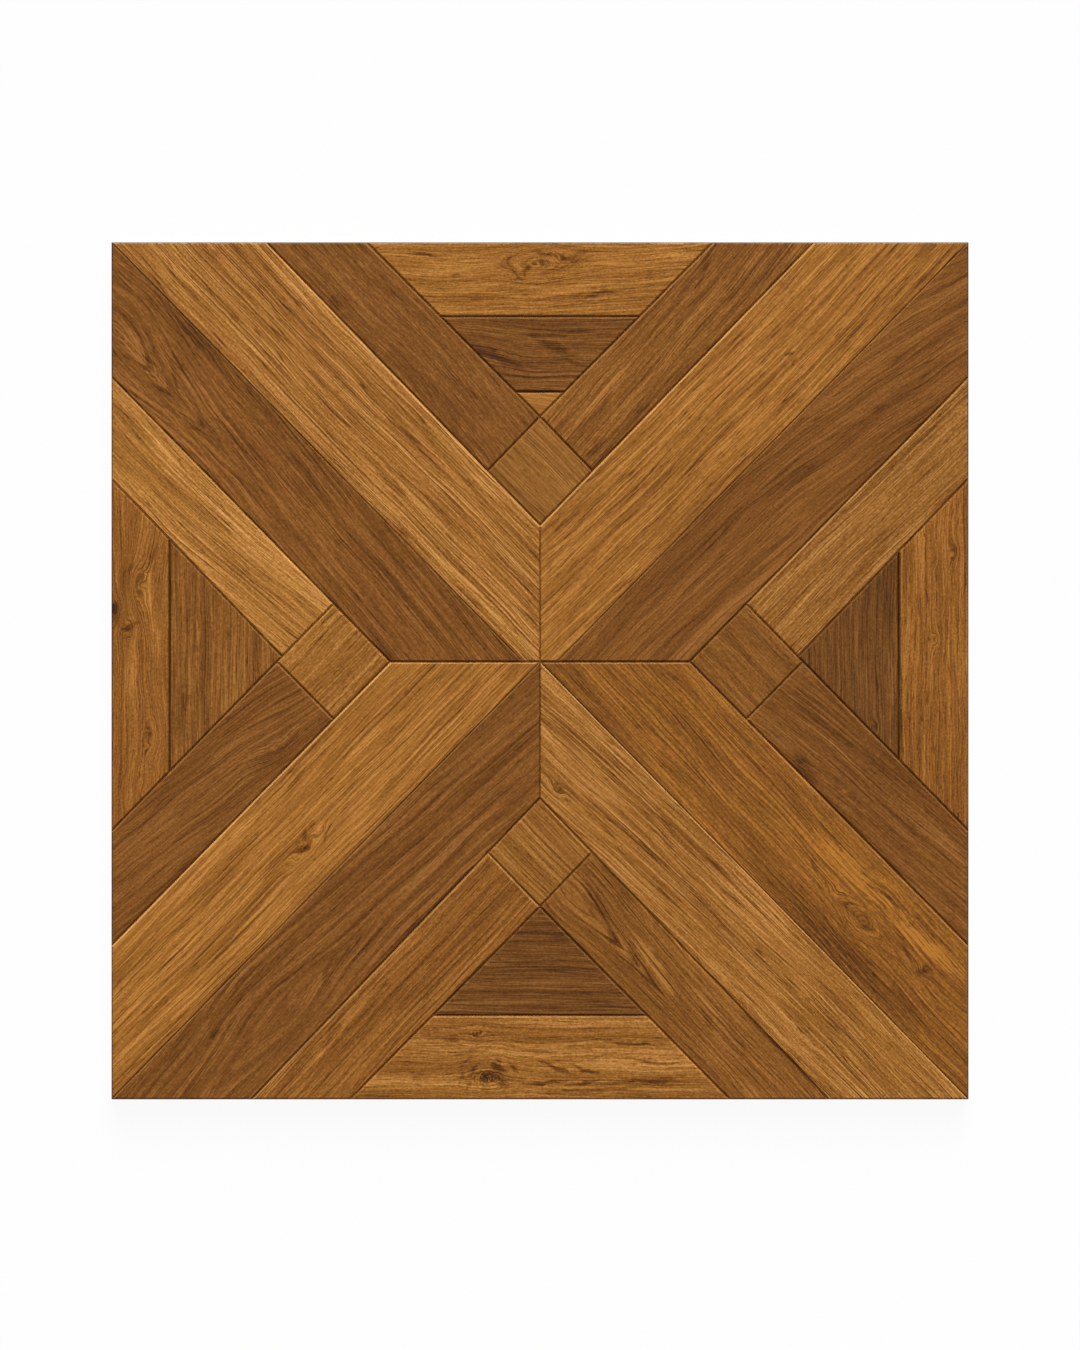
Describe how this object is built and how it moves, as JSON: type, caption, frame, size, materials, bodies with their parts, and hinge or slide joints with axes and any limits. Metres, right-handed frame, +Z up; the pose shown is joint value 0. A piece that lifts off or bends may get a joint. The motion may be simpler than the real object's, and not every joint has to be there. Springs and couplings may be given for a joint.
{
  "type": "parquet panel",
  "caption": "Square solid-oak parquet floor panel: diagonal mitred arms of bevelled staves in mixed brown tones, with small square blocks and triangular fields.",
  "frame": {"origin": "middle of the square underside", "axes": "+Z up out of the finished face, +Y towards the edge at the top of the picture, +X towards its right edge"},
  "size_m": [0.6, 0.6, 0.016],
  "materials": {
    "light_oak": "satin stained oak",
    "mid_oak": "satin stained oak",
    "dark_oak": "satin stained oak"
  },
  "bodies": {
    "root": {"wide_stave_top_left": "light_oak", "wide_stave_top_right": "light_oak", "wide_stave_left_bottom": "light_oak", "wide_stave_bottom_right": "light_oak", "narrow_stave_left_top": "light_oak", "narrow_stave_right_top": "light_oak", "field_board_top_1": "light_oak", "field_board_top_3": "light_oak", "field_board_bottom_1": "light_oak", "square_block_left": "light_oak", "wide_stave_right_bottom": "mid_oak", "narrow_stave_bottom_left": "mid_oak", "narrow_stave_top_right": "mid_oak", "narrow_stave_bottom_right": "mid_oak", "field_board_left_1": "mid_oak", "field_board_left_2": "mid_oak", "field_board_right_1": "mid_oak", "square_block_top": "mid_oak", "square_block_bottom": "mid_oak", "square_block_right": "mid_oak", "wide_stave_left_top": "dark_oak", "wide_stave_right_top": "dark_oak", "wide_stave_bottom_left": "dark_oak", "narrow_stave_top_left": "dark_oak", "narrow_stave_left_bottom": "dark_oak", "narrow_stave_right_bottom": "dark_oak", "field_board_top_2": "dark_oak", "field_board_bottom_2": "dark_oak", "field_board_right_2": "dark_oak"}
  },
  "joints": []
}
